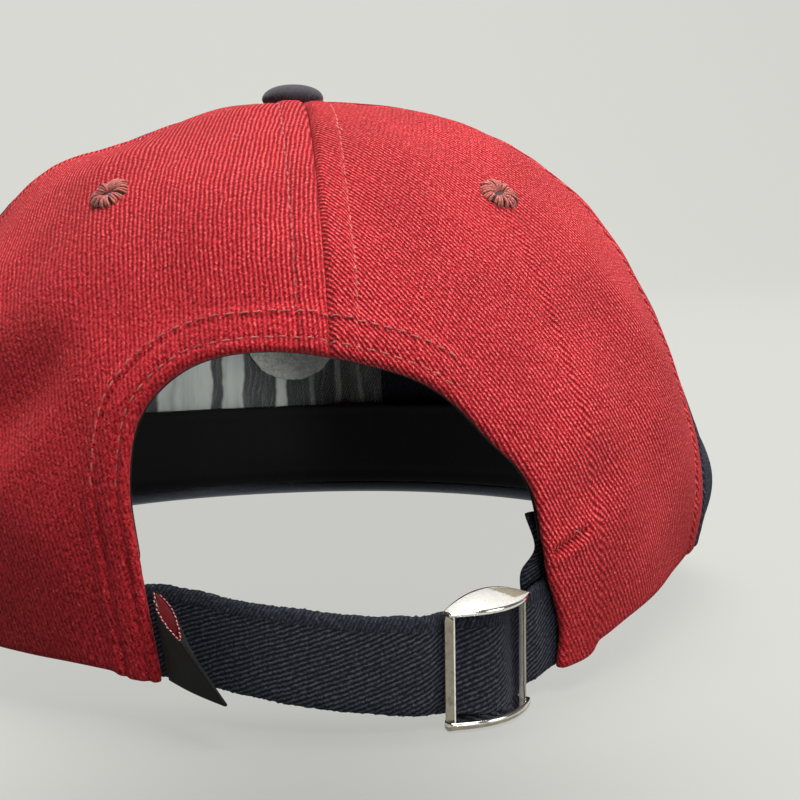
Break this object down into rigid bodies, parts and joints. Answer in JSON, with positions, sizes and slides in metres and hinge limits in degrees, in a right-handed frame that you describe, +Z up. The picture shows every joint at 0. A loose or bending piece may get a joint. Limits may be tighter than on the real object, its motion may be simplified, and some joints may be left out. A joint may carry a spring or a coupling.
{
  "type": "flat brim cap",
  "caption": "Soft panelled cloth cap with a flat front peak, an open arch at the back, and an adjustable webbing strap with a metal slider buckle.",
  "frame": {"origin": "on the surface the cap rests on, under the middle of its overall box", "axes": "+Z up, -Y towards the peak, +Y towards the arch and strap, +X to the wearer's left"},
  "size_m": [0.186, 0.27, 0.113],
  "materials": {
    "red_twill": "soft cotton twill",
    "navy_twill": "soft cotton twill",
    "navy_webbing": "coarse ribbed webbing",
    "black_cloth": "plain cloth",
    "eyelet_thread": "embroidery thread",
    "buckle_metal": "polished plate",
    "clear_film": "clear crinkled film",
    "grey_felt": "fuzzy felt"
  },
  "bodies": {
    "root": {"panel_back_left": "red_twill", "panel_side_left": "navy_twill", "panel_front_left": "navy_twill", "panel_front_right": "navy_twill", "panel_side_right": "navy_twill", "panel_back_right": "red_twill", "eyelet_back_left": "eyelet_thread", "eyelet_side_left": "eyelet_thread", "eyelet_front_left": "eyelet_thread", "eyelet_front_right": "eyelet_thread", "eyelet_side_right": "eyelet_thread", "eyelet_back_right": "eyelet_thread", "top_button": "navy_twill", "peak": "navy_twill", "arch_tape": "black_cloth", "sweatband": "black_cloth", "front_film": "clear_film", "round_patch": "grey_felt", "strap": "navy_webbing", "strap_tail": "navy_webbing", "buckle": "buckle_metal", "side_tag": "black_cloth"}
  },
  "joints": []
}
